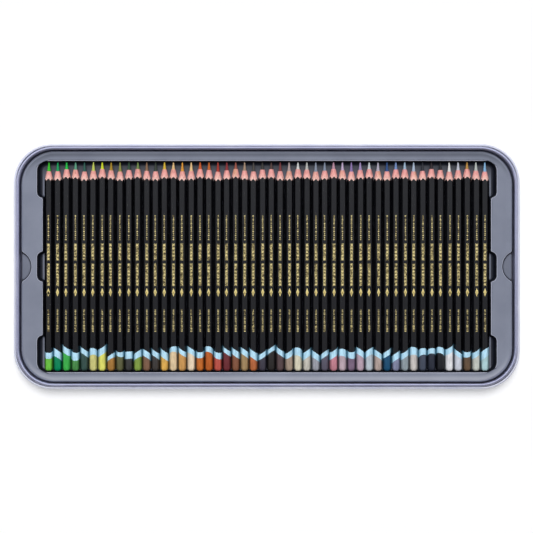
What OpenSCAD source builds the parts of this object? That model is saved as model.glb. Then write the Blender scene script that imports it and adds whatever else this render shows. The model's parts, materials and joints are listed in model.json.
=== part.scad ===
// Open tin of coloured pencils: a slip lid turned over beneath a drawn base, a formed
// plastic tray in the base, and a row of sharpened pencils in the tray.
// X runs along the row, the tips point along +Y, and Z = 0 is what the lid stands on.

/* [Pencils] */
// Number of pencils in the row
pencil_count = 50; // [6:1:50]
// Length of a pencil from its point to its dipped end
pencil_len = 175.6; // [120:0.2:190]
// Width of the hexagonal barrel across its flats
barrel_flats = 6.7; // [6:0.1:8]
// How much the rounding takes off each long edge of the barrel
edge_ease = 0.19; // [0.05:0.01:0.3]
// Gap between one barrel and the next
barrel_gap = 0.14; // [0.1:0.02:0.6]
// Radius that rounds the dipped end
end_round = 2.3; // [0.5:0.1:2.6]
// Diameter of the coloured core
core_d = 3.2; // [2:0.1:3.8]
// Length of bare core in front of the wood
core_show = 6.8; // [5:0.1:9]
// Diameter of the blunt point
point_d = 0.5; // [0.2:0.1:1]
// How far the wood stands proud of the core at its front edge
wood_lip = 0.3; // [0.1:0.05:0.5]
// Angle between the sharpened cone and the pencil's axis
sharpen_angle = 11.3; // [9:0.1:16]
// Glue line between the core and the wood
glue_line = 0.05; // [0.03:0.01:0.1]
// Thickness of wood and paint that closes the dipped end over the core
end_skin = 0.6; // [0.3:0.1:1.5]

/* [Tray] */
// Thickness of the formed plastic sheet
tray_sheet = 0.7; // [0.4:0.1:1.2]
// Depth of the well from the rim to its floor
well_depth = 9; // [8:0.1:14]
// Gap between the outer pencils and the sides of the well, at its floor
side_play = 0.2; // [0.1:0.02:2]
// Gap between the pencils and the ends of the well, at its floor
end_play = 0.34; // [0.2:0.02:2]
// How far the formed walls lean outward for each step up
wall_slope = 0.04; // [0.02:0.01:0.14]
// How far the finger pockets reach past the sides of the well
pocket_reach = 4.8; // [4.6:0.1:9]
// Length of the pockets at the tips and at the dipped ends
pocket_end_len = 30.4; // [20:0.2:36]
// Length of the middle pockets
pocket_mid_len = 24.4; // [16:0.2:40]
// Radius of the four outer corners of the well
well_corner_r = 8; // [4.5:0.1:9]
// Radius of the other corners of the pockets
pocket_corner_r = 4.6; // [3:0.1:6]
// Width of the rim between the pockets and the sides of the tray
rim_side = 13.6; // [11:0.1:24]
// Width of the rim at the tips and at the dipped ends
rim_end = 8.4; // [5:0.1:20]
// Corner radius of the tray's outline
tray_corner_r = 28; // [16:0.1:30]
// Radius that rolls the rim over into its skirt
rim_roll = 2.2; // [1.4:0.1:3]
// Height of the tray's skirt, rolled edge included
skirt_h = 8; // [6.5:0.1:8.4]
// Radius of the thumb notches
notch_r = 13.4; // [12:0.1:18]
// How far each thumb notch reaches in from the side of the tray
notch_reach = 8.2; // [6:0.1:9]
// Depth of the thumb notches below the rim
notch_depth = 5.2; // [4.2:0.1:6]

/* [Base] */
// Thickness of the tinplate of base and lid
tin_sheet = 0.3; // [0.24:0.02:0.5]
// Gap between the tray and the base's wall
tray_gap = 1.2; // [0.5:0.1:4]
// How far the base's rolled edge stands above the tray's rim
base_rise = 3.7; // [2.6:0.1:8]
// Diameter of the rolled edge round the base
base_curl_d = 2.4; // [1.8:0.1:3.4]
// Outer radius between the base's floor and wall
base_bend = 2; // [1:0.1:4]

/* [Lid] */
// Gap between the base's rolled edge and the lid's wall
lid_gap = 0.36; // [0.2:0.02:1]
// How much tighter the lid's corners are than the base's rolled edge
lid_corner_cut = 1.8; // [0:0.1:2]
// Height of the lid
lid_h = 11.5; // [6:0.1:14]
// Diameter of the rolled edge round the lid
lid_curl_d = 2.1; // [1.6:0.1:3]
// Outer radius between the lid's panel and wall
lid_bend = 2.4; // [1:0.1:3]
// Height by which the lid's panel is pressed out
panel_step = 0.5; // [0.2:0.1:1]
// Width of the border round the pressed panel
panel_border = 12; // [6:0.5:16]

/* [Hidden] */
$fn = 72;
SLIVER = 1; // how far a cutting shape runs past what it cuts
SEAT_GAP = 0.05; // clearance under a barrel
PANEL_SLOPE = 1; // run of the pressed step, measured across it
GRID = 0.02; // step of the worked-out sizes, so that straight runs and corners meet exactly
function on_grid(size) = GRID * round(size / GRID);

// The pencils
corner_r = barrel_flats / sqrt(3) - edge_ease;
flat_end_angle = acos(barrel_flats / 2 / corner_r);
pitch = on_grid(2 * corner_r + barrel_gap);
wood_front_r = core_d / 2 + wood_lip;
// Small differences between the pencils follow a rule
ROLL_PLAY = 5; // largest turn of a barrel about its axis, in degrees
SHARPEN_PLAY = 1.1; // largest difference in the length of bare core
function roll(i) = ROLL_PLAY * sin(137.5 * i);
function core_out(i) = core_show + SHARPEN_PLAY * sin(97 * i + 40);
function seat_height(i) = corner_r * cos(max(0, flat_end_angle - abs(roll(i))));
function pencil_x(i) = (i - (pencil_count - 1) / 2) * pitch;

// The tray, in its own height from the underside of the well
wall_lean = well_depth * wall_slope;
well_w = pencil_count * pitch - barrel_gap + 2 * (side_play + wall_lean);
well_l = pencil_len + 2 * (end_play + wall_lean);
pocket_w = well_w + 2 * pocket_reach;
tray_w = pocket_w + 2 * rim_side;
tray_l = well_l + 2 * rim_end;
tray_h = tray_sheet + well_depth;
main_corner_r = well_corner_r / 2;
// A corner can't pass the tray's half length
tray_r = min(tray_corner_r, tray_l / 2 - SLIVER);
notch_x = tray_w / 2 - notch_reach + notch_r;
// The end pockets have one block for their outer corners and one for their inner ones
corner_block_l = 2 * well_corner_r + SLIVER;
inner_block_l = pocket_end_len - well_corner_r + pocket_corner_r;

// The base, inside size
base_w = tray_w + 2 * tray_gap;
base_l = tray_l + 2 * tray_gap;
base_r = tray_r + tray_gap;
base_h = tin_sheet + tray_h + base_rise;
base_z = panel_step + tin_sheet;
tray_z = base_z + tin_sheet;

// The lid, inside size
lid_w = base_w + 2 * (base_curl_d + lid_gap);
lid_l = base_l + 2 * (base_curl_d + lid_gap);
lid_r = base_r + base_curl_d + lid_gap - lid_corner_cut;

// Core colours in the order of the row: greens, yellows, ochres, reds, browns, greys, violets,
// blues, blacks and tints
CORE_COLOURS = [
    "#3fc52f", "#159a5a", "#24c04a", "#5c9c80", "#2c5a50", "#c4d062", "#d4e02e", "#ae8c2c",
    "#8a8c45", "#2c4a35", "#728a4a", "#8a6a50", "#303a30", "#dcb83c", "#eec68c", "#de9a3a",
    "#f0ca90", "#d2602c", "#c4662c", "#a83a30", "#8c3034", "#9c5648", "#a68e78", "#4a4642",
    "#3a3834", "#503c38", "#7a3c3c", "#b8a4a2", "#dcdedc", "#c0c2be", "#8c96a8", "#8490a4",
    "#c094a8", "#c6b2d2", "#907ab0", "#aa96c6", "#d4dce0", "#bab4c6", "#305086", "#7a94c8",
    "#a6c0d8", "#b2c2d8", "#2a2c34", "#2c2428", "#1c1c20", "#f0f0f0", "#ced2e0", "#c09048",
    "#c2cac6", "#8cbce4"
];

function pencil_name(i) = str("pencil_", i < 9 ? "0" : "", i + 1);

// Sweeps a profile round a rectangle with rounded corners. The profile's X = 0 runs along the
// rectangle's outline, with X pointing outward, and its Y is the height.
module sweep_round(w, l, r) {
    for (side = [0:3]) {
        along = side % 2 == 0 ? l - 2 * r : w - 2 * r;
        across = side % 2 == 0 ? w : l;
        rotate(side * 90) {
            translate([across / 2, along / 2, 0]) rotate([90, 0, 0]) linear_extrude(along) children();
            translate([across / 2 - r, along / 2, 0])
                rotate_extrude(angle = 90) translate([r, 0]) children();
        }
    }
}

// Flat plate with rounded corners, from Z = 0 upward
module round_plate(w, l, r, h) {
    linear_extrude(h) {
        square([w - 2 * r, l], center = true);
        square([w, l - 2 * r], center = true);
        for (x = [-1, 1], y = [-1, 1]) translate([x * (w / 2 - r), y * (l / 2 - r)]) circle(r);
    }
}

// Block with rounded corners and drafted walls, whose width and length are those at Z = 0
module drafted_block(w, l, r, low, high) {
    low_lean = low * wall_slope;
    high_lean = high * wall_slope;
    module bar(across, along)
        translate([0, along / 2 - r, 0]) rotate([90, 0, 0]) linear_extrude(along - 2 * r) polygon([
            [-across / 2 - low_lean, low], [across / 2 + low_lean, low],
            [across / 2 + high_lean, high], [-across / 2 - high_lean, high]
        ]);
    bar(w, l);
    rotate(90) bar(l, w);
    for (x = [-1, 1], y = [-1, 1]) translate([x * (w / 2 - r), y * (l / 2 - r), low])
        cylinder(h = high - low, r1 = r + low_lean, r2 = r + high_lean);
}

// Section of a quarter bend in sheet, about its centre, that turns from the floor up to a wall
module bend_section(outer_r, sheet) {
    intersection() {
        difference() {
            circle(outer_r);
            circle(outer_r - sheet);
        }
        translate([0, -outer_r]) square(outer_r);
    }
}

// Section of an edge rolled outward, its top at Y = 0 and the sheet's inner face at X = 0
module curl_section(curl_d, sheet) {
    curl_r = curl_d / 2;
    reach = 2 * curl_d;
    translate([curl_r, -curl_r]) difference() {
        circle(curl_r);
        circle(curl_r - sheet);
        polygon(concat([[0, 0]], [for (a = [180, 210, 240]) reach * [cos(a), sin(a)]]));
    }
}

// Section of a drawn wall: bend, upright and rolled edge, with its inner face at X = 0
module wall_section(h, foot, bend, curl_d) {
    inner_bend = bend - tin_sheet;
    translate([-inner_bend, foot + bend]) bend_section(bend, tin_sheet);
    translate([0, foot + bend]) square([tin_sheet, h - foot - bend - curl_d / 2]);
    translate([0, h]) curl_section(curl_d, tin_sheet);
}

// Slip lid, turned over so that its panel is what the tin stands on
module lid() {
    inner_bend = lid_bend - tin_sheet;
    panel_in = panel_border + PANEL_SLOPE;
    color("#b4b5cc") {
        sweep_round(lid_w, lid_l, lid_r) {
            union() {
                wall_section(lid_h, panel_step, lid_bend, lid_curl_d);
                translate([-panel_border, panel_step]) square([panel_border - inner_bend, tin_sheet]);
                polygon([
                    [-panel_in, 0], [-panel_border, panel_step],
                    [-panel_border, panel_step + tin_sheet], [-panel_in, tin_sheet]
                ]);
            }
        }
        round_plate(lid_w - 2 * panel_in, lid_l - 2 * panel_in, lid_r - panel_in, tin_sheet);
    }
}

// Drawn tinplate base
module tin_base() {
    inner_bend = base_bend - tin_sheet;
    color("#a9abc4") translate([0, 0, base_z]) {
        sweep_round(base_w, base_l, base_r) wall_section(base_h, 0, base_bend, base_curl_d);
        round_plate(base_w - 2 * inner_bend, base_l - 2 * inner_bend, base_r - inner_bend, tin_sheet);
    }
}

// The well with its six finger pockets, measured at the rim, which is Z = 0
module well_body(grow, low, high) {
    module strip(w, l, r, y)
        translate([0, y, 0]) drafted_block(w + 2 * grow, l + 2 * grow, r + grow, low, high);
    strip(well_w, well_l, main_corner_r, 0);
    strip(pocket_w, pocket_mid_len, pocket_corner_r, 0);
    for (end = [-1, 1]) {
        strip(pocket_w, corner_block_l, well_corner_r, end * (well_l - corner_block_l) / 2);
        strip(pocket_w, inner_block_l, pocket_corner_r,
            end * (well_l / 2 - pocket_end_len + inner_block_l / 2));
    }
}

// The two thumb notches, measured at the rim, which is Z = 0
module notch_body(grow, low, high) {
    for (side = [-1, 1]) translate([side * notch_x, 0, low]) cylinder(
        h = high - low, r1 = notch_r + grow + low * wall_slope, r2 = notch_r + grow + high * wall_slope
    );
}

// Formed tray with its rolled rim, skirt, well and thumb notches
module pencil_tray() {
    under_rim = -tray_sheet;
    color("#8288a0") translate([0, 0, tray_z + tray_h]) difference() {
        union() {
            translate([0, 0, under_rim])
                round_plate(tray_w - 2 * rim_roll, tray_l - 2 * rim_roll, tray_r - rim_roll, tray_sheet);
            sweep_round(tray_w, tray_l, tray_r) {
                union() {
                    translate([-rim_roll, -rim_roll]) mirror([0, 1]) bend_section(rim_roll, tray_sheet);
                    translate([-tray_sheet, -skirt_h]) square([tray_sheet, skirt_h - rim_roll]);
                }
            }
            well_body(tray_sheet, -tray_h, 0);
            intersection() {
                notch_body(tray_sheet, -notch_depth - tray_sheet, under_rim);
                translate([0, 0, -tray_h])
                    round_plate(tray_w - 2 * tray_sheet, tray_l, tray_r - tray_sheet, tray_h);
            }
        }
        well_body(0, -well_depth, SLIVER);
        notch_body(0, -notch_depth, SLIVER);
    }
}

// Body of revolution that sharpens a barrel and rounds its dipped end, along +Z to the point
module turned_shape(bare) {
    cone_run = (corner_r - wood_front_r) / tan(sharpen_angle);
    front_z = pencil_len - bare;
    rotate_extrude() {
        polygon([
            [0, end_round], [corner_r, end_round], [corner_r, front_z - cone_run],
            [wood_front_r, front_z], [0, front_z]
        ]);
        square([corner_r - end_round, end_round]);
        intersection() {
            translate([corner_r - end_round, end_round]) circle(end_round);
            translate([corner_r - end_round, 0]) square(end_round);
        }
    }
}

// Coloured core with its point, along +Z
module core(bare) {
    core_r = core_d / 2;
    front_z = pencil_len - bare;
    rotate_extrude() polygon([
        [0, end_skin + glue_line], [core_r - glue_line, end_skin + glue_line],
        [core_r - glue_line, front_z], [point_d / 2, pencil_len], [0, pencil_len]
    ]);
}

// One pencil in its place: lacquered wood round a glued core
module pencil(i) {
    bare = core_out(i);
    translate([pencil_x(i), -pencil_len / 2, tray_z + tray_sheet + seat_height(i) + SEAT_GAP])
        rotate([-90, 0, 0]) rotate(roll(i)) {
            color("#23232a") difference() {
                intersection() {
                    cylinder(h = pencil_len, r = barrel_flats / sqrt(3), $fn = 6);
                    turned_shape(bare);
                }
                translate([0, 0, end_skin]) cylinder(h = pencil_len, r = core_d / 2);
            }
            color(CORE_COLOURS[i]) core(bare);
        }
}

lid();
tin_base();
pencil_tray();
for (i = [0:pencil_count - 1]) pencil(i);
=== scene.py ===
# Open tin of coloured pencils seen from straight above: a row of sharpened pencils in a formed
# tray, the tray in a tinplate base, and the base nested in its own lid, which lies turned over.
import json
import math

import bmesh
import bpy
from mathutils.geometry import tessellate_polygon
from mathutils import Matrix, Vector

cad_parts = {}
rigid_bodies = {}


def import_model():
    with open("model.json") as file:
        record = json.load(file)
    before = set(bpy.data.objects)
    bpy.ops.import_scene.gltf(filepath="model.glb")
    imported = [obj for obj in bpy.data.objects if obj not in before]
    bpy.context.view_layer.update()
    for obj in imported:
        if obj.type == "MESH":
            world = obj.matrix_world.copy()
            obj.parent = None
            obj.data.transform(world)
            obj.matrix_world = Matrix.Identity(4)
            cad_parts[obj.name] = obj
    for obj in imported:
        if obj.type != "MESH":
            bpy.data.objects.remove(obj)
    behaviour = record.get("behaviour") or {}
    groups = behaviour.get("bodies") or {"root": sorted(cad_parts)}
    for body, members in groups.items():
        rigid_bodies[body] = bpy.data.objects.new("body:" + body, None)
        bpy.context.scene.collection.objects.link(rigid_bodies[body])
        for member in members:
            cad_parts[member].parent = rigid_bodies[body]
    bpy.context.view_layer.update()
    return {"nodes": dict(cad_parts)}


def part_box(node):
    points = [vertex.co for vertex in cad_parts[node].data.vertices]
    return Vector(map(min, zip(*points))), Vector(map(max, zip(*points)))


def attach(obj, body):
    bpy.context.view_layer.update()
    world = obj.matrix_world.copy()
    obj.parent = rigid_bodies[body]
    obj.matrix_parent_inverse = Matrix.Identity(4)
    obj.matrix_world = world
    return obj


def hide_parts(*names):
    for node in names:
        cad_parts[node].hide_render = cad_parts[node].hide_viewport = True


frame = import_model()
scene = bpy.context.scene
MM = 0.001

# Sizes shared with the part, in metres
LENGTH = 175.6 * MM
ACROSS_FLATS = 6.7 * MM
# Length of bare core, and how far sharpening varies it
CORE_SHOW, SHARPEN_PLAY = 6.8 * MM, 1.1 * MM
# Slope of the sharpened cone
SHARPEN_SLOPE = math.tan(math.radians(12.9))
# How far a barrel rolls off its flat either way, in degrees
ROLL_PLAY = 5
# Height of the pencils' axes
AXIS = sum(corner.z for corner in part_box("pencil_01")) / 2
# Edges are shaded smooth below this angle
SHARP_FROM = math.radians(35)

# Each pencil's pigment: a name, the colour of its core and the colour of its dipped end
PIGMENTS = [
    ("grass green", "#3fc52f", "#6cc044"), ("emerald", "#159a5a", "#04875a"),
    ("bright green", "#24c04a", "#40b24e"), ("sea green", "#5c9c80", "#4a8c4a"),
    ("pine green", "#2c5a50", "#364f4a"), ("pale lime", "#c4d062", "#d2cd82"),
    ("lemon lime", "#d4e02e", "#e0df6c"), ("golden ochre", "#ae8c2c", "#aa7a3c"),
    ("olive", "#8a8c45", "#5f6040"), ("dark moss", "#2c4a35", "#3a3a3a"),
    ("moss green", "#728a4a", "#829e46"), ("raw umber", "#8a6a50", "#82604c"),
    ("green black", "#303a30", "#3e3a38"), ("maize", "#dcb83c", "#e2b056"),
    ("sand", "#eec68c", "#e6cca4"), ("amber", "#de9a3a", "#cf9a58"),
    ("pale apricot", "#f0ca90", "#efd9bc"), ("burnt orange", "#d2602c", "#c66c2c"),
    ("rust", "#c4662c", "#bd6028"), ("brick red", "#a83a30", "#c0564a"),
    ("wine red", "#8c3034", "#6e2f34"), ("red earth", "#9c5648", "#855640"),
    ("light umber", "#a68e78", "#a58860"), ("copper", "#4a4642", "#b8683e"),
    ("warm black", "#3a3834", "#3f3c48"), ("sepia", "#503c38", "#2b2827"),
    ("maroon", "#7a3c3c", "#574648"), ("rose grey", "#b8a4a2", "#a39080"),
    ("ivory", "#dcdedc", "#dad4bc"), ("silver grey", "#c0c2be", "#c9c5ba"),
    ("blue grey", "#8c96a8", "#9fa1ac"), ("slate", "#8490a4", "#5a5666"),
    ("dusty pink", "#c094a8", "#c88492"), ("pale lilac", "#c6b2d2", "#bfaab4"),
    ("violet", "#907ab0", "#7d6880"), ("lavender", "#aa96c6", "#bfa6b6"),
    ("ice blue", "#d4dce0", "#bcc6d0"), ("mauve grey", "#bab4c6", "#b6a39c"),
    ("deep blue", "#305086", "#1c4d70"), ("cornflower", "#7a94c8", "#8488a6"),
    ("powder blue", "#a6c0d8", "#93a0a8"), ("cloud blue", "#b2c2d8", "#cfc9c5"),
    ("blue black", "#2a2c34", "#454c5c"), ("soft black", "#2c2428", "#2b2f3c"),
    ("jet black", "#1c1c20", "#1e1f24"), ("white", "#f0f0f0", "#ececf0"),
    ("pearl grey", "#ced2e0", "#d0d4e0"), ("bronze", "#c09048", "#66513f"),
    ("stone grey", "#c2cac6", "#c8ccc4"), ("sky blue", "#8cbce4", "#b4d6dc"),
]
# How the edge of each pale band runs across the barrel's top: r rises to the right, f falls,
# c crests in the middle, t dips in the middle, l lies level
BAND_RUNS = "tfftfcrrtlrfffcfftctffffrrfrcrfrrctfrfrrrccccrftrr"
# Which way round the barrel each kind of edge is highest, in degrees from the top
BAND_TURN = {"r": 90, "f": -90, "c": 0, "t": 180, "l": 30}
# How far each kind of edge swings from its middle, in millimetres
BAND_SWING = {"r": 2.5, "f": 2.5, "c": 2.3, "t": 1.8, "l": 0.4}
# Middle heights of each band's top and foot above the dipped end, in millimetres
BAND_TOPS = (
    17.0, 17.0, 20.5, 17.0, 18.5, 17.0, 20.5, 13.0, 17.5, 16.0, 15.5, 16.0, 17.0, 17.0, 18.5,
    18.5, 18.5, 17.5, 18.5, 17.0, 19.0, 17.5, 17.5, 17.5, 16.0, 19.5, 18.5, 17.0, 17.5, 17.5,
    15.0, 15.5, 18.0, 16.5, 17.5, 17.5, 17.5, 15.5, 17.0, 14.5, 17.0, 18.0, 17.0, 17.0, 18.0,
    20.5, 16.5, 17.5, 17.5, 17.5,
)
BAND_FEET = (
    12.0, 10.0, 15.0, 10.5, 13.5, 11.5, 14.0, 9.0, 13.5, 10.0, 9.5, 10.5, 11.5, 10.5, 14.0,
    14.0, 13.0, 12.5, 14.0, 11.5, 14.5, 12.5, 12.5, 10.5, 11.5, 15.0, 13.5, 12.5, 11.0, 11.0,
    9.0, 11.5, 11.5, 10.5, 12.0, 12.0, 11.5, 10.5, 13.0, 8.5, 11.5, 11.5, 11.5, 12.5, 13.0,
    16.0, 12.0, 13.0, 12.5, 11.0,
)


def wire(tree, socket, value):
    """Sets a socket to a value, or links it to a socket or to a node's first output."""
    if isinstance(value, bpy.types.Node):
        value = value.outputs[0]
    if isinstance(value, bpy.types.NodeSocket):
        tree.links.new(value, socket)
    else:
        socket.default_value = value


def add(tree, kind, inputs=(), **settings):
    """Adds a node with its settings, and wires its inputs, given by name or in order."""
    node = tree.nodes.new(kind)
    for name, value in settings.items():
        setattr(node, name, value)
    pairs = inputs.items() if isinstance(inputs, dict) else enumerate(inputs)
    for key, value in pairs:
        wire(tree, node.inputs[key], value)
    return node


def colour(code):
    """Linear colour from an sRGB hex value."""
    parts = [int(code[i:i + 2], 16) / 255 for i in (1, 3, 5)]
    return [c / 12.92 if c <= 0.04045 else ((c + 0.055) / 1.055) ** 2.4 for c in parts] + [1]


def start_material(name, **surface):
    """Starts a Principled material; returns it, its tree, the shader and Object coordinates."""
    mat = bpy.data.materials.new(name)
    mat.use_nodes = True
    shader = mat.node_tree.nodes["Principled BSDF"]
    for label, value in surface.items():
        shader.inputs[label.replace("_", " ")].default_value = value
    place = add(mat.node_tree, "ShaderNodeTexCoord").outputs["Object"]
    return mat, mat.node_tree, shader, place


def tinplate(name, light, shade, metal):
    """Drawn tinplate under satin lavender enamel: a soft rolled grain and faint rub marks."""
    mat, tree, shader, place = start_material(name, Metallic=metal, Roughness=0.4)
    # the rolling grain is a few hundredths of a millimetre, drawn at 0.5 mm so that it shows
    run = add(tree, "ShaderNodeMapping", {"Vector": place, "Scale": (90, 2000, 2000)})
    grain = add(tree, "ShaderNodeTexNoise", {"Vector": run, "Scale": 1.0, "Detail": 4.0})
    cloud = add(tree, "ShaderNodeTexNoise", {"Vector": place, "Scale": 55.0, "Detail": 3.0})
    blend = add(tree, "ShaderNodeMath", [grain, cloud], operation="MULTIPLY")
    span = add(tree, "ShaderNodeMapRange", [blend, 0.15, 0.4, 0.0, 1.0])
    tone = add(
        tree, "ShaderNodeMix", {0: span, 6: colour(shade), 7: colour(light)}, data_type="RGBA"
    )
    wire(tree, shader.inputs["Base Color"], tone.outputs[2])
    rough = add(tree, "ShaderNodeMapRange", [cloud, 0.3, 0.7, 0.34, 0.46])
    wire(tree, shader.inputs["Roughness"], rough)
    bump = add(tree, "ShaderNodeBump", {"Strength": 0.12, "Distance": 0.0001, "Height": grain})
    wire(tree, shader.inputs["Normal"], bump)
    return mat


def formed_styrene(name, drawn):
    """Vacuum-formed polystyrene sheet: satin grey-lavender with a fine pebble from the mould.

    Where the sheet is drawn into the well and the notches, its walls are dull and carry painted
    shade, and its lips a painted pale highlight.
    """
    shine = 0.3 if drawn else 0.8
    mat, tree, shader, place = start_material(name, IOR=1.59, Specular_IOR_Level=shine)
    pebble = add(tree, "ShaderNodeTexNoise", {"Vector": place, "Scale": 1500.0, "Detail": 2.0})
    flow = add(tree, "ShaderNodeTexNoise", {"Vector": place, "Scale": 38.0, "Detail": 3.0})
    span = add(tree, "ShaderNodeMapRange", [flow, 0.35, 0.65, 0.0, 1.0])
    tone = add(
        tree, "ShaderNodeMix", {0: span, 6: colour("#757a8a"), 7: colour("#7f8494")},
        data_type="RGBA",
    )
    axes = add(tree, "ShaderNodeSeparateXYZ", [place])
    # painted shade on the floor, under 4 mm up: below the points, and out in the pockets
    under = add(tree, "ShaderNodeMapRange", [axes.outputs["Y"], 0.070, 0.0855, 0.3, 0.97])
    out = add(tree, "ShaderNodeMath", [axes.outputs["X"]], operation="ABSOLUTE")
    aside = add(tree, "ShaderNodeMapRange", [out, 0.1886, 0.1898, 0.0, 0.97])
    under = add(tree, "ShaderNodeMath", [under, aside], operation="MAXIMUM")
    low = add(tree, "ShaderNodeMath", [axes.outputs["Z"], 0.004], operation="LESS_THAN")
    painted_floor_shade = add(tree, "ShaderNodeMath", [under, low], operation="MULTIPLY")
    # painted shade on the notches' sunk floors, under 9 mm up and over 195 mm out, a little darker
    notch_floor_shade = add(tree, "ShaderNodeMapRange", [out, 0.195, 0.196, 0.0, 0.26])
    sunk = add(tree, "ShaderNodeMath", [axes.outputs["Z"], 0.009], operation="LESS_THAN")
    notch_floor_shade = add(tree, "ShaderNodeMath", [notch_floor_shade, sunk], operation="MULTIPLY")
    # painted shade and painted light on the rim: deep along its side by the points and pale along
    # its side by the dipped ends, where it leans inward and over its last few millimetres
    way = add(tree, "ShaderNodeTexCoord").outputs["Normal"]
    leans = add(tree, "ShaderNodeSeparateXYZ", [way])
    level = leans.outputs["Z"]
    flat = add(tree, "ShaderNodeMapRange", [level, 0.88, 0.94, 0.0, 1.0])
    painted_rim_shading = []
    for side, most in ((1, 0.42), (-1, 0.24)):
        ahead = add(tree, "ShaderNodeMath", [axes.outputs["Y"], side], operation="MULTIPLY")
        inward = add(tree, "ShaderNodeMath", [leans.outputs["Y"], -side], operation="MULTIPLY")
        lean = add(tree, "ShaderNodeMapRange", [inward, 0.03, 0.22, 0.0, most])
        half = add(tree, "ShaderNodeMapRange", [ahead, 0.05, 0.08, 0.0, 1.0])
        lean = add(tree, "ShaderNodeMath", [lean, half], operation="MULTIPLY")
        edge = add(tree, "ShaderNodeMapRange", [ahead, 0.093, 0.0955, 0.0, most])
        tint = add(tree, "ShaderNodeMath", [lean, edge], operation="MAXIMUM")
        painted_rim_shading.append(add(tree, "ShaderNodeMath", [tint, flat], operation="MULTIPLY"))
    deep, pale = painted_rim_shading
    # the rim's painted shade and light, and the floors' and the notches' painted shade
    shares = [(deep, "#17181c"), (pale, "#d8dade"), (painted_floor_shade, "#0c0f19"), (notch_floor_shade, "#22242c")]
    rough = add(tree, "ShaderNodeMapRange", [pebble, 0.3, 0.7, 0.36, 0.5])
    if drawn:
        # the lips, over 8.5 mm up, carry a painted pale highlight
        painted_lip_highlight = add(tree, "ShaderNodeMapRange", [level, 0.97, 0.92, 0.0, 1.0])
        high = add(tree, "ShaderNodeMath", [axes.outputs["Z"], 0.0085], operation="GREATER_THAN")
        painted_lip_highlight = add(tree, "ShaderNodeMath", [painted_lip_highlight, high], operation="MULTIPLY")
        # painted shade, near black, down the steep walls; low down it spreads over the floors'
        # rounding
        onset = add(tree, "ShaderNodeMapRange", [axes.outputs["Z"], 0.004, 0.009, 0.997, 0.91])
        steep = add(tree, "ShaderNodeMapRange", [level, onset, 0.68, 0.0, 1.0])
        dull = add(tree, "ShaderNodeMath", [steep, 0.4], operation="MULTIPLY")
        rough = add(tree, "ShaderNodeMath", [rough, dull], operation="ADD")
        shares += [(painted_lip_highlight, "#c4c8da"), (steep, "#0c0f19")]
    wire(tree, shader.inputs["Roughness"], rough)
    for share, code in shares:
        tone = add(
            tree, "ShaderNodeMix", {0: share, 6: tone.outputs[2], 7: colour(code)}, data_type="RGBA"
        )
    wire(tree, shader.inputs["Base Color"], tone.outputs[2])
    bump = add(tree, "ShaderNodeBump", {"Strength": 0.2, "Distance": 0.00006, "Height": pebble})
    wire(tree, shader.inputs["Normal"], bump)
    return mat


def black_lacquer():
    """Black polyester lacquer in several coats: deep and glossy, faintly drawn along the barrel."""
    mat, tree, shader, place = start_material("black_polyester_lacquer", Roughness=0.25)
    run = add(tree, "ShaderNodeMapping", {"Vector": place, "Scale": (900, 45, 900)})
    draw = add(tree, "ShaderNodeTexNoise", {"Vector": run, "Scale": 1.0, "Detail": 3.0})
    tone = add(
        tree, "ShaderNodeMix", {0: draw, 6: colour("#040406"), 7: colour("#0a0a0f")},
        data_type="RGBA",
    )
    wire(tree, shader.inputs["Base Color"], tone.outputs[2])
    rough = add(tree, "ShaderNodeMapRange", [draw, 0.3, 0.7, 0.2, 0.32])
    wire(tree, shader.inputs["Roughness"], rough)
    bump = add(tree, "ShaderNodeBump", {"Strength": 0.15, "Distance": 0.00005, "Height": draw})
    wire(tree, shader.inputs["Normal"], bump)
    return mat


def dip_paint(name, code, side_shade_shares=(0.08, 0.1, 0.12)):
    """Nitrocellulose dip paint: glossy colour, with painted shade low on the barrel's sides.

    There the painted shade keeps only these shares of its red, green and blue.
    """
    mat, tree, shader, place = start_material(name, Roughness=0.28)
    run = add(tree, "ShaderNodeMapping", {"Vector": place, "Scale": (700, 160, 700)})
    film = add(tree, "ShaderNodeTexNoise", {"Vector": run, "Scale": 1.0, "Detail": 2.0})
    full = colour(code)
    thin = [0.78 * c for c in full[:3]] + [1]
    bare = [share * c for share, c in zip(side_shade_shares, full)] + [1]
    span = add(tree, "ShaderNodeMapRange", [film, 0.35, 0.6, 0.0, 1.0])
    tone = add(tree, "ShaderNodeMix", {0: span, 6: thin, 7: full}, data_type="RGBA")
    # painted shade down the barrel's upper sides, from 2.3 mm to 1.3 mm over its axis
    level = add(tree, "ShaderNodeSeparateXYZ", [place]).outputs["Z"]
    side = add(tree, "ShaderNodeMapRange", [level, AXIS + 2.3 * MM, AXIS + 1.3 * MM, 0.0, 0.85])
    tone = add(tree, "ShaderNodeMix", {0: side, 6: tone.outputs[2], 7: bare}, data_type="RGBA")
    wire(tree, shader.inputs["Base Color"], tone.outputs[2])
    bump = add(tree, "ShaderNodeBump", {"Strength": 0.15, "Distance": 0.00005, "Height": film})
    wire(tree, shader.inputs["Normal"], bump)
    return mat


def wax_core(name, code):
    """Wax and pigment core, turned to a point: waxy colour with fine turning marks and dust."""
    mat, tree, shader, place = start_material(name, Roughness=0.5)
    # the marks of the sharpening cutter, about 0.35 mm apart along the point
    run = add(tree, "ShaderNodeMapping", {"Vector": place, "Scale": (300, 2800, 300)})
    marks = add(tree, "ShaderNodeTexNoise", {"Vector": run, "Scale": 1.0, "Detail": 2.0})
    full = colour(code)
    deep = [0.72 * c for c in full[:3]] + [1]
    span = add(tree, "ShaderNodeMapRange", [marks, 0.35, 0.6, 0.0, 1.0])
    tone = add(tree, "ShaderNodeMix", {0: span, 6: deep, 7: full}, data_type="RGBA")
    wire(tree, shader.inputs["Base Color"], tone.outputs[2])
    bump = add(tree, "ShaderNodeBump", {"Strength": 0.3, "Distance": 0.00008, "Height": marks})
    wire(tree, shader.inputs["Normal"], bump)
    return mat


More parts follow.
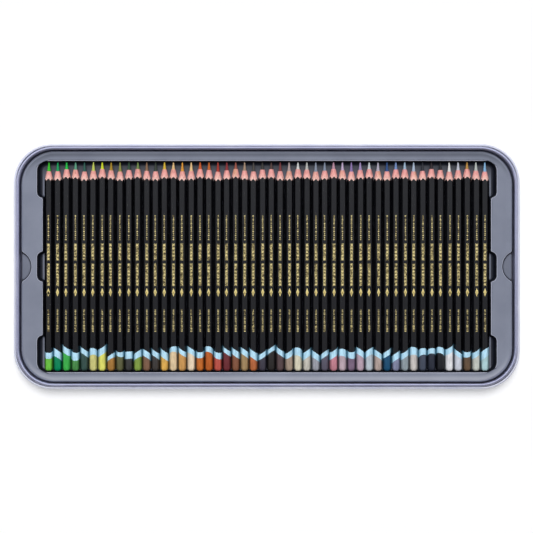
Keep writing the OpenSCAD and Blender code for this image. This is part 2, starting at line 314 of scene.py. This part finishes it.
def sharpened_cedar():
    """Incense cedar cut by a sharpener: pink heartwood, paler where the cut is thin, fine grain."""
    mat, tree, shader, place = start_material("sharpened_cedar", Roughness=0.62)
    axes = add(tree, "ShaderNodeSeparateXYZ", [place])
    # the cone runs from 81 mm out, where it meets the core, back to 72 mm at the barrel's edges
    along = add(tree, "ShaderNodeMapRange", [axes.outputs["Y"], 0.079, 0.0725, 0.0, 1.0])
    bands = add(tree, "ShaderNodeMapping", {"Vector": place, "Scale": (1500, 130, 1500)})
    grain = add(tree, "ShaderNodeTexNoise", {"Vector": bands, "Scale": 1.0, "Detail": 4.0})
    # each slat is cut from another board, so the tint changes from pencil to pencil
    board = add(tree, "ShaderNodeMapping", {"Vector": place, "Scale": (90, 0, 0)})
    tint = add(tree, "ShaderNodeTexNoise", {"Vector": board, "Scale": 1.0, "Detail": 1.0})
    tint_span = add(tree, "ShaderNodeMapRange", [tint, 0.55, 0.72, 0.0, 1.0])
    heart = add(
        tree, "ShaderNodeMix", {0: tint_span, 6: colour("#eda5a0"), 7: colour("#d8a482")},
        data_type="RGBA",
    )
    pale = add(
        tree, "ShaderNodeMix", {0: along, 6: heart.outputs[2], 7: colour("#f8cdc2")},
        data_type="RGBA",
    )
    dark = add(tree, "ShaderNodeMapRange", [grain, 0.52, 0.7, 0.0, 0.7])
    tone = add(
        tree, "ShaderNodeMix", {0: dark, 6: pale.outputs[2], 7: colour("#b0605c")}, data_type="RGBA"
    )
    wire(tree, shader.inputs["Base Color"], tone.outputs[2])
    bump = add(tree, "ShaderNodeBump", {"Strength": 0.35, "Distance": 0.0001, "Height": grain})
    wire(tree, shader.inputs["Normal"], bump)
    return mat


def gold_foil():
    """Hot-stamped gold foil: pale metallic gold, broken where the lacquer shows through."""
    mat, tree, shader, place = start_material("hot_stamped_gold_foil", Metallic=0.4, Roughness=0.38)
    wear = add(tree, "ShaderNodeTexNoise", {"Vector": place, "Scale": 650.0, "Detail": 3.0})
    span = add(tree, "ShaderNodeMapRange", [wear, 0.36, 0.54, 0.0, 1.0])
    tone = add(
        tree, "ShaderNodeMix", {0: span, 6: colour("#5e4d28"), 7: colour("#f4e09a")},
        data_type="RGBA",
    )
    # the drop, 21 mm back from the middle, is stamped deeper, and its foil is whole
    along = add(tree, "ShaderNodeSeparateXYZ", [place]).outputs["Y"]
    drop = add(tree, "ShaderNodeMath", [along, -0.0214, 0.0042], operation="COMPARE")
    tone = add(
        tree, "ShaderNodeMix", {0: drop, 6: tone.outputs[2], 7: colour("#ffe999")}, data_type="RGBA"
    )
    wire(tree, shader.inputs["Base Color"], tone.outputs[2])
    return mat


def new_tree(name, sizes):
    """A Geometry Nodes tree with a named input for each size; returns it and those inputs."""
    tree = bpy.data.node_groups.new(name, "GeometryNodeTree")
    tree.interface.new_socket("Geometry", in_out="INPUT", socket_type="NodeSocketGeometry")
    tree.interface.new_socket("Geometry", in_out="OUTPUT", socket_type="NodeSocketGeometry")
    kinds = {float: "Float", tuple: "Vector", bpy.types.Material: "Material"}
    for label, value in sizes.items():
        kind = "NodeSocket" + kinds[type(value)]
        tree.interface.new_socket(label, in_out="INPUT", socket_type=kind).default_value = value
    return tree, tree.nodes.new("NodeGroupInput").outputs


def turn(tree, profile, stations):
    """Sweeps a profile upward with one ring for each station; a ring's height is its number."""
    last = len(stations) - 1
    line = add(tree, "GeometryNodeCurvePrimitiveLine", {"End": (0, 0, last)})
    path = add(tree, "GeometryNodeResampleCurve", {"Curve": line, "Count": last + 1}, mode="COUNT")
    inputs = {"Curve": path, "Profile Curve": profile, "Fill Caps": True}
    return add(tree, "GeometryNodeCurveToMesh", inputs)


def place_rings(tree, geometry, outward, station, stations):
    """Moves each ring of a swept mesh to its station's place along the axis and radius."""
    # half a step more, because an index is rounded down
    which = add(tree, "ShaderNodeMath", [station, 0.5], operation="ADD")
    picks = []
    for column in zip(*stations):
        pick = add(tree, "GeometryNodeIndexSwitch", data_type="FLOAT")
        while len(pick.index_switch_items) < len(column):
            pick.index_switch_items.new()
        wire(tree, pick.inputs["Index"], which)
        for number, value in enumerate(column):
            wire(tree, pick.inputs[number + 1], value)
        picks.append(pick)
    along = add(tree, "ShaderNodeCombineXYZ", {"Z": picks[0]})
    across = add(
        tree, "ShaderNodeVectorMath", {"Vector": outward, "Scale": picks[1]}, operation="SCALE"
    )
    place = add(tree, "ShaderNodeVectorMath", [across, along], operation="ADD")
    return add(tree, "GeometryNodeSetPosition", {"Geometry": geometry, "Position": place})


def lay_down(tree, geometry, size):
    """Lays a piece that was made upright along +Z down along +Y, turned and in its place."""
    spin = add(tree, "ShaderNodeCombineXYZ", {"X": -math.pi / 2, "Y": size["Turn"]})
    laid = add(
        tree, "GeometryNodeTransform",
        {"Geometry": geometry, "Rotation": spin, "Translation": size["Place"]},
    )
    return add(tree, "GeometryNodeRealizeInstances", {"Geometry": laid})


def casing_tree(finish):
    """Hexagonal casing: dipped round end, pale band, lacquered barrel, sharpened cone and socket."""
    tree, size = new_tree("hexagonal casing", {
        "Across flats": ACROSS_FLATS, "Edge radius": 1.0 * MM, "End radius": 2.3 * MM,
        "Front": LENGTH - CORE_SHOW, "Front radius": 1.9 * MM, "Slope": SHARPEN_SLOPE,
        "Bore": 1.6 * MM, "Band top": 18.1 * MM, "Band foot": 12.7 * MM,
        "Band crest": (0.0, 0.0, 0.0), "Foot crest": (0.0, 0.0, 0.0), "Ragged": 0.9 * MM,
        "Seed": 0.0, "Turn": 0.0, "Place": (0.0, 0.0, 0.0),
        "Lacquer": finish["lacquer"], "Dip": finish["lacquer"], "Band": finish["band"],
        "Wood": finish["wood"], "Foil": finish["foil"],
    })
    flats_to_corner = 2 * math.cos(math.pi / 6)
    corner = add(
        tree, "ShaderNodeMath", [size["Across flats"], flats_to_corner], operation="DIVIDE"
    )
    hexagon = add(
        tree, "GeometryNodeCurvePrimitiveCircle", {"Resolution": 6, "Radius": corner}, mode="RADIUS"
    )
    eased = add(
        tree, "GeometryNodeFilletCurve",
        {"Curve": hexagon, "Radius": size["Edge radius"], "Count": 3}, mode="POLY",
    )
    profile = add(tree, "GeometryNodeSubdivideCurve", {"Curve": eased, "Cuts": 2})

    point = add(tree, "GeometryNodeInputPosition")
    station = add(tree, "ShaderNodeSeparateXYZ", [point]).outputs["Z"]
    cross = add(tree, "ShaderNodeVectorMath", [point, (1, 1, 0)], operation="MULTIPLY")
    outward = add(tree, "ShaderNodeVectorMath", [cross], operation="NORMALIZE")
    reach = add(tree, "ShaderNodeVectorMath", [cross], operation="LENGTH").outputs["Value"]
    # the sharpened cone meets the flats further forward than the edges, which scallops the lacquer
    taper = add(tree, "ShaderNodeMath", [reach, size["Front radius"]], operation="SUBTRACT")
    run = add(tree, "ShaderNodeMath", [taper, size["Slope"]], operation="DIVIDE")
    edge = add(tree, "ShaderNodeMath", [size["Front"], run], operation="SUBTRACT")
    # the front of the wood breaks off raggedly round the core, with a small chamfer
    chips = add(
        tree, "ShaderNodeTexNoise", {"Vector": outward, "W": size["Seed"], "Scale": 1.2},
        noise_dimensions="4D",
    )
    centred = add(tree, "ShaderNodeMath", [chips, 0.5], operation="SUBTRACT")
    ragged = add(tree, "ShaderNodeMath", [centred, size["Ragged"]], operation="MULTIPLY")
    front = add(tree, "ShaderNodeMath", [size["Front"], ragged], operation="ADD")
    lip = add(tree, "ShaderNodeMath", [front, 0.12 * MM], operation="ADD")
    lip_radius = add(
        tree, "ShaderNodeMath", [size["Front radius"], 0.14 * MM], operation="SUBTRACT"
    )
    socket_end = add(tree, "ShaderNodeMath", [size["Front"], 1.6 * MM], operation="SUBTRACT")
    edges = []
    for height, crest in (("Band foot", "Foot crest"), ("Band top", "Band crest")):
        wave = add(tree, "ShaderNodeVectorMath", [outward, size[crest]], operation="DOT_PRODUCT")
        edges.append(
            add(tree, "ShaderNodeMath", [size[height], wave.outputs["Value"]], operation="ADD")
        )

    stations = []
    # the rounded end
    for step in (0, 20, 45, 70, 90):
        angle = math.radians(step)
        along = add(
            tree, "ShaderNodeMath", [size["End radius"], 1 - math.cos(angle)], operation="MULTIPLY"
        )
        radius = add(
            tree, "ShaderNodeMath", [size["End radius"], math.sin(angle) - 1, reach],
            operation="MULTIPLY_ADD",
        )
        stations.append((along, radius))
    band_foot = len(stations)
    # the band's edges, and two rings along the plain barrel
    stations += [(edges[0], reach), (edges[1], reach), (60 * MM, reach), (110 * MM, reach)]
    wood_start = len(stations)
    for share in (0, 0.25, 0.5, 0.75):
        along = add(tree, "ShaderNodeMath", [run, share, edge], operation="MULTIPLY_ADD")
        radius = add(tree, "ShaderNodeMath", [taper, -share, reach], operation="MULTIPLY_ADD")
        stations.append((along, radius))
    stations += [
        (front, size["Front radius"]), (lip, lip_radius),
        (lip, size["Bore"]), (socket_end, size["Bore"]),
    ]
    swept = turn(tree, profile, stations)
    painted = add(tree, "GeometryNodeSetMaterial", {"Geometry": swept, "Material": size["Lacquer"]})
    zones = (
        ("Band", "LESS_THAN", band_foot + 1), ("Dip", "LESS_THAN", band_foot),
        ("Wood", "GREATER_THAN", wood_start),
    )
    for label, side, limit in zones:
        here = add(tree, "FunctionNodeCompare", [station, limit], data_type="FLOAT", operation=side)
        painted = add(
            tree, "GeometryNodeSetMaterial",
            {"Geometry": painted, "Selection": here, "Material": size[label]},
        )
    casing = place_rings(tree, painted, outward, station, stations)

    # plain stamped ornament on the top flat: beads, a chain of lozenges in two rules, a drop, bars;
    # the foil is a few thousandths of a millimetre thick, drawn at 0.025 mm to clear the lacquer
    depth = 0.05 * MM
    bead = add(
        tree, "GeometryNodeMeshCylinder", {"Vertices": 6, "Radius": 0.5 * MM, "Depth": depth}
    )
    lozenge = add(
        tree, "GeometryNodeMeshCylinder", {"Vertices": 4, "Radius": 1.0 * MM, "Depth": depth}
    )
    bar = add(tree, "GeometryNodeMeshCube", {"Size": (1 * MM, 1 * MM, depth)})
    # shape, count, first place, step, scale and place across, with lengths in millimetres
    rows = (
        (bead, 7, 110.6, 3.3, (1.5, 1.2, 1), 0), (bead, 6, 112.1, 3.3, (1.1, 1.0, 1), 0),
        (lozenge, 7, 72.8, 2.75, (0.8, 1.4, 1), 0), (lozenge, 5, 94.3, 2.9, (0.85, 1.45, 1), 0),
        (bar, 1, 81.0, 1, (0.3, 19.0, 1), 0.86), (bar, 1, 81.0, 1, (0.3, 19.0, 1), -0.86),
        (bar, 1, 100.1, 1, (0.3, 14.4, 1), 0.86), (bar, 1, 100.1, 1, (0.3, 14.4, 1), -0.86),
        (lozenge, 1, 66.2, 1, (1.3, 3.6, 1), 0), (bead, 1, 65.6, 1, (2.0, 2.8, 1), 0),
        (bar, 5, 33.4, 1.26, (1.6, 0.7, 1), 0), (bar, 5, 40.4, 1.26, (1.3, 0.6, 1), 0),
        (bar, 4, 47.4, 1.26, (1.3, 0.6, 1), 0),
    )
    join = tree.nodes.new("GeometryNodeJoinGeometry")
    for shape, count, start, step, scale, side in rows:
        spots = add(
            tree, "GeometryNodeMeshLine",
            {
                "Count": count, "Start Location": (side * MM, 0, start * MM),
                "Offset": (0, 0, step * MM),
            },
        )
        row = add(
            tree, "GeometryNodeInstanceOnPoints",
            {"Points": spots, "Instance": shape, "Rotation": (math.pi / 2, 0, 0), "Scale": scale},
        )
        wire(tree, join.inputs[0], row)
    face = add(tree, "ShaderNodeMath", [size["Across flats"], -0.5], operation="MULTIPLY")
    face_place = add(tree, "ShaderNodeCombineXYZ", {"Y": face})
    stamped = add(tree, "GeometryNodeTransform", {"Geometry": join, "Translation": face_place})
    stamped = add(tree, "GeometryNodeRealizeInstances", {"Geometry": stamped})
    stamped = add(tree, "GeometryNodeSetMaterial", {"Geometry": stamped, "Material": size["Foil"]})
    whole = tree.nodes.new("GeometryNodeJoinGeometry")
    wire(tree, whole.inputs[0], casing)
    wire(tree, whole.inputs[0], stamped)
    add(tree, "NodeGroupOutput", [lay_down(tree, whole, size)])
    return tree


def core_tree(finish):
    """Coloured core: a glued shank in the wood and a turned point with a blunt end."""
    tree, size = new_tree("pointed core", {
        "Length": LENGTH, "Front": LENGTH - CORE_SHOW, "Core radius": 1.5 * MM, "Point": 0.4 * MM,
        "Turn": 0.0, "Place": (0.0, 0.0, 0.0), "Wax": finish["lacquer"],
    })
    profile = add(
        tree, "GeometryNodeCurvePrimitiveCircle", {"Resolution": 28, "Radius": 1.0}, mode="RADIUS"
    )
    point = add(tree, "GeometryNodeInputPosition")
    station = add(tree, "ShaderNodeSeparateXYZ", [point]).outputs["Z"]
    cross = add(tree, "ShaderNodeVectorMath", [point, (1, 1, 0)], operation="MULTIPLY")
    outward = add(tree, "ShaderNodeVectorMath", [cross], operation="NORMALIZE")
    shown = add(tree, "ShaderNodeMath", [size["Length"], size["Front"]], operation="SUBTRACT")
    narrowing = add(
        tree, "ShaderNodeMath", [size["Core radius"], size["Point"]], operation="SUBTRACT"
    )
    stations = []
    # share of the bare length, and share of the way from the full radius to the point's
    outline = (
        (-0.2, 0), (0.04, 0), (0.14, 0.1), (0.4, 0.35),
        (0.7, 0.64), (0.93, 0.87), (0.985, 0.95), (1, 1.08),
    )
    for along_share, taper_share in outline:
        along = add(
            tree, "ShaderNodeMath", [shown, along_share, size["Front"]], operation="MULTIPLY_ADD"
        )
        radius = add(
            tree, "ShaderNodeMath", [narrowing, -taper_share, size["Core radius"]],
            operation="MULTIPLY_ADD",
        )
        stations.append((along, radius))
    swept = turn(tree, profile, stations)
    placed = place_rings(tree, swept, outward, station, stations)
    laid = lay_down(tree, placed, size)
    add(tree, "NodeGroupOutput", [
        add(tree, "GeometryNodeSetMaterial", {"Geometry": laid, "Material": size["Wax"]})
    ])
    return tree


def soften(mesh):
    """Drops empty material slots and shades smooth, but for steep edges and where wood starts."""
    for slot in reversed(range(len(mesh.materials))):
        if mesh.materials[slot] is None:
            mesh.materials.pop(index=slot)
    names = [mat.name for mat in mesh.materials]
    shell = bmesh.new()
    shell.from_mesh(mesh)
    for face in shell.faces:
        face.smooth = True
    for edge in shell.edges:
        if len(edge.link_faces) == 2:
            kinds = {names[face.material_index] for face in edge.link_faces}
            crease = len(kinds) == 2 and "sharpened_cedar" in kinds
            edge.smooth = edge.calc_face_angle() < SHARP_FROM and not crease
    shell.to_mesh(mesh)
    shell.free()


def grow(name, tree, values):
    """Runs a tree with these inputs and returns its result as a plain mesh object."""
    piece = bpy.data.objects.new(name, bpy.data.meshes.new(name))
    scene.collection.objects.link(piece)
    rule = piece.modifiers.new("rule", "NODES")
    rule.node_group = tree
    items = tree.interface.items_tree
    sockets = {item.name: item.identifier for item in items if item.in_out == "INPUT"}
    for label, value in values.items():
        rule[sockets[label]] = value
    piece.update_tag()
    ready = piece.evaluated_get(bpy.context.evaluated_depsgraph_get())
    made = bpy.data.meshes.new_from_object(ready)
    piece.modifiers.clear()
    piece.data = made
    made.name = name
    soften(made)
    return piece


def make_pencils(finish):
    """One casing and one core for each pencil, each in its own place and turn."""
    casings, cores = casing_tree(finish), core_tree(finish)
    for i, (pigment, core_code, dip_code) in enumerate(PIGMENTS):
        node = f"pencil_{i + 1:02d}"
        low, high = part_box(node)
        place = ((low.x + high.x) / 2, low.y, (low.z + high.z) / 2)
        # each play follows a wave of its own, which never falls in step with the row
        roll = math.radians(ROLL_PLAY * math.sin(math.radians(137.5 * i)))
        bare = CORE_SHOW + SHARPEN_PLAY * math.sin(math.radians(97 * i + 40))
        lift = BAND_SWING[BAND_RUNS[i]] * MM
        swing = math.radians(BAND_TURN[BAND_RUNS[i]] + 18 * math.sin(2.4 * i))
        foot_swing = swing + 0.3 * math.sin(1.7 * i)
        slug = pigment.replace(" ", "_")
        casing = grow(node + "_casing", casings, {
            "Front": LENGTH - bare, "Seed": 3.7 * i, "Turn": roll, "Place": place,
            "Band top": BAND_TOPS[i] * MM, "Band foot": BAND_FEET[i] * MM,
            "Band crest": (lift * math.sin(swing), -lift * math.cos(swing), 0.0),
            "Foot crest": (lift * math.sin(foot_swing), -lift * math.cos(foot_swing), 0.0),
            "Dip": dip_paint("dip_paint_" + slug, dip_code),
        })
        core = grow(node + "_core", cores, {
            "Front": LENGTH - bare, "Turn": roll, "Place": place,
            "Wax": wax_core("wax_core_" + slug, core_code),
        })
        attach(casing, node)
        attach(core, node)
        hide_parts(node)
        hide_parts(node)


def formed_tray(finish):
    """The tray as one formed sheet, with rolled rim, rounded lips and rounded floors."""
    # all in millimetres, with heights from the rim's top; the outlines repeat the part's sizes
    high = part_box("pencil_tray")[1]
    half_w, half_l, top = high.x / MM, high.y / MM, high.z / MM
    corner, roll, skirt = 28, 2.2, 8
    # the rim dishes between these distances from the outline; over a notch it rolls by the brow
    dish_from, dish_to, dish, brow = 1.4, 6.5, 0.75, 0.6
    well_x, pocket_x, well_y = 187.99, 192.79, 88.5
    pocket_mid, pocket_end = 12.2, 30.4
    pocket_r, tongue_r, well_r = 4.6, 1.4, 8
    lip, foot, lean, depth = 1.2, 2.4, 0.36, 9
    notch_r, notch_out, notch_depth, notch_foot = 13.4, 5.2, 5.2, 1.4
    # a narrow flat beside each lip and foot
    flat = 0.3
    points, faces, drawn = [], [], set()

    def rim_height(s):
        """Height of the rolled and dished rim at a distance from the outline."""
        rolled = -roll + math.sqrt(roll ** 2 - max(0, roll - s) ** 2)
        inward = min(1, max(0, (s - dish_from) / (dish_to - dish_from)))
        return rolled - dish * (1 - (1 - inward) ** 2)

    def ring(places):
        first = len(points)
        points.extend(places)
        return list(range(first, len(points)))

    def bridge(a, b, closed=False):
        count = len(a) if closed else len(a) - 1
        for k in range(count):
            n = (k + 1) % len(a)
            faces.append((a[k], a[n], b[n], b[k]))

    def fill(*loops):
        order = [index for loop in loops for index in loop]
        for triangle in tessellate_polygon([[points[index] for index in loop] for loop in loops]):
            faces.append(tuple(order[k] for k in triangle))

    # the well: a path of arcs, offset outward by d, with the lip and the floor's rounding as rings;
    # each arc is its centre, its radius, its first and last angle and its steps
    reach = math.sqrt((pocket_r + tongue_r) ** 2 - (well_x + tongue_r - pocket_x + pocket_r) ** 2)
    meet = math.degrees(math.atan2(reach, well_x + tongue_r - pocket_x + pocket_r))
    mid_y, end_y = pocket_mid - pocket_r, well_y - pocket_end + pocket_r
    quarter = [
        (pocket_x - pocket_r, mid_y, pocket_r, 0, meet, 9),
        (well_x + tongue_r, mid_y + reach, -tongue_r, 180 + meet, 180, 6),
        (well_x + tongue_r, end_y - reach, -tongue_r, 180, 180 - meet, 6),
        (pocket_x - pocket_r, end_y, pocket_r, -meet, 0, 9),
        (pocket_x - well_r, well_y - well_r, well_r, 0, 90, 12),
    ]

    def well_ring(d, z):
        arc_points = []
        for x, y, r, start, end, steps in quarter:
            for k in range(steps + 1):
                a = math.radians(start + (end - start) * k / steps)
                size = abs(r) + (d if r > 0 else -d)
                arc_points.append((x + size * math.cos(a), y + size * math.sin(a)))
        left = [(-x, y) for x, y in reversed(arc_points)]
        upper = arc_points + left
        whole = upper + [(-x, -y) for x, y in upper]
        return ring([(x, y, z) for x, y in whole])

    def section(lean_out, floor, bend):
        """Offsets and heights from the flat rim over the lip and down the wall to the floor."""
        rows = [(lip + flat, 0.0)]
        for k in range(7):
            a = math.radians(15 * k)
            rows.append((lip - lip * math.sin(a), lip * math.cos(a) - lip))
        for k in range(6):
            a = math.radians(18 * k)
            rows.append((bend * math.cos(a) - bend - lean_out, bend - floor - bend * math.sin(a)))
        return rows + [(-bend - lean_out - flat, -floor)]

    rings = [well_ring(d, z - dish) for d, z in section(lean, depth - dish, foot)]
    for a, b in zip(rings, rings[1:]):
        bridge(a, b, closed=True)
    drawn.update(range(len(faces)))
    fill(rings[-1])

    # the notches: rings round a centre outside the tray, cut off by the tray's own outline; the
    # insets from that outline run over the roll, down the dish and past its end
    insets = [roll * (1 - math.cos(math.radians(15 * k))) for k in range(7)]
    insets += [2.8, 3.6, 4.5, 5.4, dish_to, dish_to + flat]
    notch_rows = section(notch_depth * 0.04, notch_depth - dish, notch_foot)

    def notch_point(side, r, s, up):
        y = up * math.sqrt(max(0, r ** 2 - (notch_out + s) ** 2))
        return side * (half_w - s), y

    def notch_height(s, z):
        """Height on a notch's wall or floor, whose outer edge rolls more tightly than the rim."""
        down = -z / (notch_depth - dish)
        edge = -brow + math.sqrt(brow ** 2 - max(0, brow - s) ** 2)
        return z + (1 - down) * rim_height(s) + down * (edge - dish)

    notch_arcs = {}
    for side in (-1, 1):
        grid = []
        for t, z in notch_rows:
            r = notch_r + t
            span = math.asin(min(1, notch_point(1, r, insets[-1], 1)[1] / r))
            row = [(*notch_point(side, r, s, 1), notch_height(s, z)) for s in insets]
            for k in range(1, 12):
                a = span * (1 - k / 6)
                x = side * (half_w + notch_out - r * math.cos(a))
                row.append((x, r * math.sin(a), z - dish))
            row += [(*notch_point(side, r, s, -1), notch_height(s, z)) for s in reversed(insets)]
            grid.append(ring(row))
        first = len(faces)
        for a, b in zip(grid, grid[1:]):
            bridge(a, b)
        drawn.update(range(first, len(faces)))
        inner = notch_r + notch_rows[-1][0]
        floor = []
        for s in insets:
            y_end = notch_point(side, inner, s, 1)[1]
            floor.append(ring([
                (side * (half_w - s), y_end * (1 - k / 5), notch_height(s, dish - notch_depth))
                for k in range(11)
            ]))
        for a, b in zip(floor, floor[1:]):
            bridge(a, b)
        arc = grid[-1][len(insets):-len(insets)]
        fill([floor[-1][0]] + arc + [floor[-1][-1]] + floor[-1][-2:0:-1])
        # the skirt below the notch
        brink = [row[0] for row in grid] + floor[0][1:-1] + [row[-1] for row in reversed(grid)]
        hem = ring([(points[k][0], points[k][1], -skirt) for k in brink])
        bridge(brink, hem)
        notch_arcs[side] = grid[0][len(insets):-len(insets)]

    # the outer roll and skirt, in two halves from notch to notch
    halves = []
    for turned in (1, -1):
        rows = []
        for s in [None] + insets:
            inset, z = (0, -skirt) if s is None else (s, rim_height(s))
            start = notch_point(1, notch_r + notch_rows[0][0], inset, 1)
            line = [start]
            for centre_x, first_angle in ((half_w - corner, 0), (corner - half_w, 90)):
                for k in range(25):
                    a = math.radians(first_angle + 90 * k / 24)
                    line.append((
                        centre_x + (corner - inset) * math.cos(a),
                        half_l - corner + (corner - inset) * math.sin(a),
                    ))
            line.append((-start[0], start[1]))
            rows.append(ring([(turned * x, turned * y, z) for x, y in line]))
        for a, b in zip(rows, rows[1:]):
            bridge(a, b)
        halves.append(rows[-1])
    fill(halves[0] + notch_arcs[-1] + halves[1] + notch_arcs[1][::-1], rings[0])

    mesh = bpy.data.meshes.new("pencil_tray_sheet")
    mesh.from_pydata([(x * MM, y * MM, (z + top) * MM) for x, y, z in points], [], faces)
    mesh.materials.append(finish["tray"])
    mesh.materials.append(finish["drawn tray"])
    for index in drawn:
        mesh.polygons[index].material_index = 1
    shell = bmesh.new()
    shell.from_mesh(mesh)
    bmesh.ops.remove_doubles(shell, verts=shell.verts, dist=0.004 * MM)
    bmesh.ops.recalc_face_normals(shell, faces=shell.faces)
    upmost = max(shell.faces, key=lambda face: face.calc_area())
    if upmost.normal.z < 0:
        bmesh.ops.reverse_faces(shell, faces=shell.faces)
    shell.to_mesh(mesh)
    shell.free()
    sheet = bpy.data.objects.new("pencil_tray_sheet", mesh)
    scene.collection.objects.link(sheet)
    thick = sheet.modifiers.new("thickness", "SOLIDIFY")
    # a little under the part's 0.7 mm, so that the sheet's underside stays off the base
    thick.thickness = 0.66 * MM
    thick.offset = -1
    thick.use_even_offset = True
    ready = sheet.evaluated_get(bpy.context.evaluated_depsgraph_get())
    solid = bpy.data.meshes.new_from_object(ready)
    sheet.modifiers.clear()
    sheet.data = solid
    soften(solid)
    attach(sheet, "pencil_tray")
    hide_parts("pencil_tray")


finish = {
    "lacquer": black_lacquer(),
    # painted shade turns the pale blue band dark teal low on the barrel's sides
    "band": dip_paint("dip_paint_pale_band", "#bce7fd", (0.03, 0.18, 0.24)),
    "wood": sharpened_cedar(),
    "foil": gold_foil(),
    "tray": formed_styrene("formed_polystyrene_sheet", False),
    "drawn tray": formed_styrene("drawn_polystyrene_walls", True),
    # the lid and the base take a lit and a shaded copy of one enamel: painted light, for the bright
    # floor that the lid's outer roll catches
    "base": tinplate("enamelled_tinplate_base", "#c8cae2", "#b6b8d3", 0.8),
    "lid": tinplate("enamelled_tinplate_lid", "#f0f1fb", "#dfe2f3", 0.4),
}
for node, label in (("lid", "lid"), ("tin_base", "base")):
    materials = frame["nodes"][node].data.materials
    materials.clear()
    materials.append(finish[label])
formed_tray(finish)
make_pencils(finish)

# White floor and backdrop; the floor keeps the tin's shadow
ground = bpy.data.materials.new("white_backdrop")
ground.use_nodes = True
tree = ground.node_tree
tree.nodes.remove(tree.nodes["Principled BSDF"])
path = add(tree, "ShaderNodeLightPath")
seen = add(
    tree, "ShaderNodeMath", [path.outputs["Is Camera Ray"], path.outputs["Is Glossy Ray"]],
    operation="MAXIMUM",
)
seen = add(tree, "ShaderNodeMath", [seen, path.outputs["Is Transmission Ray"]], operation="MAXIMUM")
matt = add(tree, "ShaderNodeBsdfDiffuse", {"Color": colour("#efeff1")})
# what the floor's light leaves short of white, added only where the floor is seen
glow_power = add(tree, "ShaderNodeMath", [seen, 0.36], operation="MULTIPLY")
glow = add(tree, "ShaderNodeEmission", {"Color": colour("#ffffff"), "Strength": glow_power})
both = add(tree, "ShaderNodeAddShader", [matt, glow])
wire(tree, tree.nodes["Material Output"].inputs["Surface"], both)
# 8 m square and just under the lid, so that the two never lie in one plane
half, level = 4, -0.1 * MM
corners = [(x * half, y * half, level) for x, y in ((-1, -1), (1, -1), (1, 1), (-1, 1))]
floor_mesh = bpy.data.meshes.new("floor")
floor_mesh.from_pydata(corners, [], [(0, 1, 2, 3)])
floor_mesh.materials.append(ground)
floor_piece = bpy.data.objects.new("floor", floor_mesh)
scene.collection.objects.link(floor_piece)

world = bpy.data.worlds.new("studio")
scene.world = world
world.use_nodes = True
tree = world.node_tree
path = add(tree, "ShaderNodeLightPath")
seen = add(
    tree, "ShaderNodeMath",
    [path.outputs["Is Camera Ray"], path.outputs["Is Transmission Ray"]], operation="MAXIMUM",
)
# walls and gaps stay dark because the room itself gives little light; the lamps give the rest
room = add(tree, "ShaderNodeBackground", {"Color": colour("#fafdff"), "Strength": 0.13})
# the room's bright side is past the pencils' points, which is what the polished edges mirror
way = add(tree, "ShaderNodeSeparateXYZ", [add(tree, "ShaderNodeTexCoord").outputs["Generated"]])
side = add(tree, "ShaderNodeMapRange", [way.outputs["Y"], -0.25, 0.25, 0.02, 1.25])
mirrored = add(tree, "ShaderNodeBackground", {"Color": colour("#f3f6ff"), "Strength": side})
white = add(tree, "ShaderNodeBackground", {"Color": colour("#ffffff"), "Strength": 1.0})
sky = add(tree, "ShaderNodeMixShader", [path.outputs["Is Glossy Ray"], room, mirrored])
sky = add(tree, "ShaderNodeMixShader", [seen, sky, white])
wire(tree, tree.nodes["World Output"].inputs["Surface"], sky)

backdrop = bpy.data.collections.new("backdrop")
backdrop.objects.link(floor_piece)
tin = bpy.data.collections.new("tin")
for piece in scene.objects:
    if piece.type == "MESH" and piece is not floor_piece:
        tin.objects.link(piece)
# A softbox over the tin and, for the white floor alone, an even light from beyond the pencils'
# points, so that the tin's soft shadow falls below it
softbox = bpy.data.lights.new("softbox", "AREA")
softbox.size = 0.6
softbox.energy = 42
sun = bpy.data.lights.new("floor_light", "SUN")
sun.angle = math.radians(40)
sun.energy = 2.15
softbox_place, sun_place = (-0.12, 0.35, 2.1), (0, 0.6, 1.3)
for data, lit, place in ((softbox, tin, softbox_place), (sun, backdrop, sun_place)):
    lamp = bpy.data.objects.new(data.name, data)
    lamp.location = place
    lamp.rotation_euler = (-lamp.location).to_track_quat("-Z", "Y").to_euler()
    lamp.light_linking.receiver_collection = lit
    lamp.visible_glossy = False
    scene.collection.objects.link(lamp)

# Straight above, at the distance that the drift of the barrels' facets gives
camera_data = bpy.data.cameras.new("camera")
camera_data.sensor_width = 36
camera_data.lens = 99.7
camera = bpy.data.objects.new("camera", camera_data)
camera.location = (-0.0003, 0.0001, 1.25)
scene.collection.objects.link(camera)
scene.camera = camera
scene.view_settings.view_transform = "Standard"
